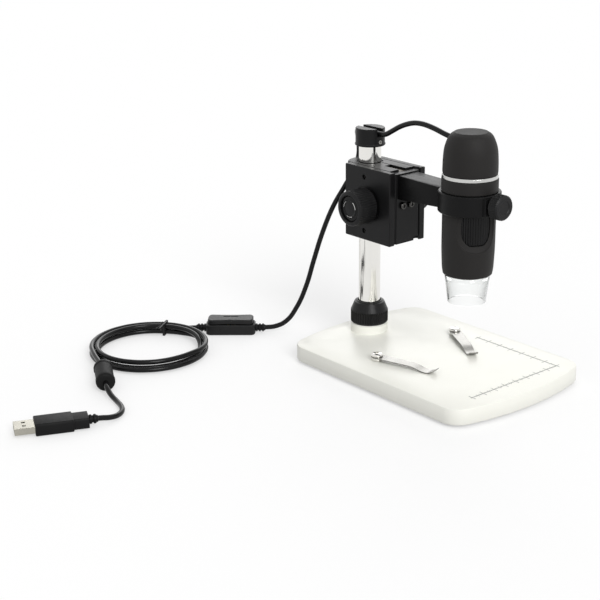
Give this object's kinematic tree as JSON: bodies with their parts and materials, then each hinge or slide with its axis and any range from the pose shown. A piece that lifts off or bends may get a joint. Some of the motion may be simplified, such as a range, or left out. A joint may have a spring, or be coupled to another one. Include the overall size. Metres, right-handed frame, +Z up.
{
  "type": "usb digital microscope",
  "caption": "Handheld USB digital microscope clamped in a rack-and-pinion focusing stand with a white base plate, stage clips and a coiled cord.",
  "frame": {"origin": "on the table, under the middle of the base plate", "axes": "+Z up, +X from the post towards the microscope, +Y across the base plate, away from the dimmer and coil side"},
  "size_m": [0.2851, 0.3279, 0.1692],
  "materials": {
    "white_plastic": "smooth moulded",
    "black_anodised": "satin black anodised",
    "black_plastic": "fine satin",
    "soft_black": "soft touch",
    "black_rubber": "smooth",
    "chrome": "polished",
    "steel": "bright",
    "satin_silver": "satin",
    "brass": "machined",
    "circuit_board": "solder mask",
    "clear_acrylic": "clear",
    "lens_glass": "polished"
  },
  "bodies": {
    "base": {"base_plate": "white_plastic", "front_near_foot": "black_rubber", "front_far_foot": "black_rubber", "rear_near_foot": "black_rubber", "rear_far_foot": "black_rubber", "post_tube": "chrome", "post_screw": "steel", "post_cap": "black_anodised", "cap_set_screw": "steel", "near_clip_stud": "chrome", "far_clip_stud": "chrome", "cord_drop": "black_rubber", "cord_coil_lead": "black_rubber", "cord_bead_lead": "black_rubber", "cord_plug_lead": "black_rubber", "cord_coil": "black_rubber", "cord_tie": "black_plastic", "dimmer_tray": "black_plastic", "dimmer_cover": "black_plastic", "dimmer_board": "circuit_board", "front_relief": "black_rubber", "rear_relief": "black_rubber", "ferrite_bead": "black_plastic", "usb_overmould": "black_plastic", "usb_shell": "steel", "usb_tongue": "white_plastic"},
    "collar": {"locking_collar": "black_anodised"},
    "near_clip_body": {"near_clip": "steel"},
    "far_clip_body": {"far_clip": "steel"},
    "sleeve": {"post_sleeve": "black_anodised"},
    "focus_block": {"block_body": "black_anodised", "near_side_plate": "black_anodised", "far_side_plate": "black_anodised", "upper_clamp_screw": "steel", "lower_clamp_screw": "steel"},
    "knobs": {"pinion_shaft": "steel", "near_knob": "black_anodised", "far_knob": "black_anodised", "near_knob_cap": "black_plastic", "far_knob_cap": "black_plastic"},
    "carriage": {"slide_carriage": "black_anodised", "focus_rack": "brass", "near_carriage_screw": "steel", "far_carriage_screw": "steel", "near_arm_screw": "steel", "far_arm_screw": "steel", "scope_arm": "black_plastic", "cord_arch": "black_rubber"},
    "thumb": {"thumb_screw": "black_anodised"},
    "scope": {"scope_barrel": "black_plastic", "scope_head": "soft_black", "trim_ring": "satin_silver", "cable_gland": "black_rubber", "sensor_board": "circuit_board", "led_board": "circuit_board", "clear_nozzle": "clear_acrylic"},
    "wheel": {"focus_wheel": "black_plastic"},
    "optics": {"lens_tube": "black_plastic", "lens": "lens_glass"},
    "dimmer": {"dimmer_wheel": "black_plastic"}
  },
  "joints": [
    {"name": "collar_turn", "type": "hinge", "parent": "base", "child": "collar", "pos_m": [-0.0639, 0, 0.0354], "axis": [0, 0, 1], "range_deg": [-360, 0]},
    {"name": "near_clip_swing", "type": "hinge", "parent": "base", "child": "near_clip_body", "pos_m": [-0.0159, -0.037, 0.0158], "axis": [0, 0, 1], "range_deg": [-100, 25]},
    {"name": "far_clip_swing", "type": "hinge", "parent": "base", "child": "far_clip_body", "pos_m": [-0.0159, 0.037, 0.0158], "axis": [0, 0, 1], "range_deg": [-10, 100]},
    {"name": "block_height", "type": "slide", "parent": "base", "child": "sleeve", "axis": [0, 0, 1], "range_m": [-0.022, 0.01]},
    {"name": "block_swivel", "type": "hinge", "parent": "sleeve", "child": "focus_block", "pos_m": [-0.0639, 0, 0.1095], "axis": [0, 0, 1], "range_deg": [-60, 60]},
    {"name": "focus_slide", "type": "slide", "parent": "focus_block", "child": "carriage", "axis": [0, 0, 1], "range_m": [-0.014, 0.014]},
    {"name": "focus_knobs", "type": "hinge", "parent": "focus_block", "child": "knobs", "pos_m": [-0.0493, 0, 0.1095], "axis": [0, 1, 0], "range_deg": [-230, 230]},
    {"name": "thumb_turn", "type": "hinge", "parent": "carriage", "child": "thumb", "pos_m": [0.0289, 0, 0.1256], "axis": [1, 0, 0], "range_deg": [-360, 0]},
    {"name": "scope_turn", "type": "hinge", "parent": "carriage", "child": "scope", "pos_m": [0.0289, 0, 0.1256], "axis": [0, 0, 1], "range_deg": [-90, 90]},
    {"name": "wheel_turn", "type": "hinge", "parent": "scope", "child": "wheel", "pos_m": [0.0289, 0, 0.11], "axis": [0, 0, 1], "range_deg": [-150, 150]},
    {"name": "lens_travel", "type": "slide", "parent": "scope", "child": "optics", "axis": [0, 0, 1], "range_m": [-0.0031, 0.0031]},
    {"name": "dimmer_turn", "type": "hinge", "parent": "base", "child": "dimmer", "pos_m": [-0.152, -0.05658, 0.00685], "axis": [-0.7507, 0.6607, 0], "range_deg": [-140, 140]}
  ],
  "couplings": [
    {"joint": "focus_knobs", "follows": "focus_slide", "rad_per_m": -285.71},
    {"joint": "lens_travel", "follows": "wheel_turn", "m_per_rad": 0.00115}
  ]
}
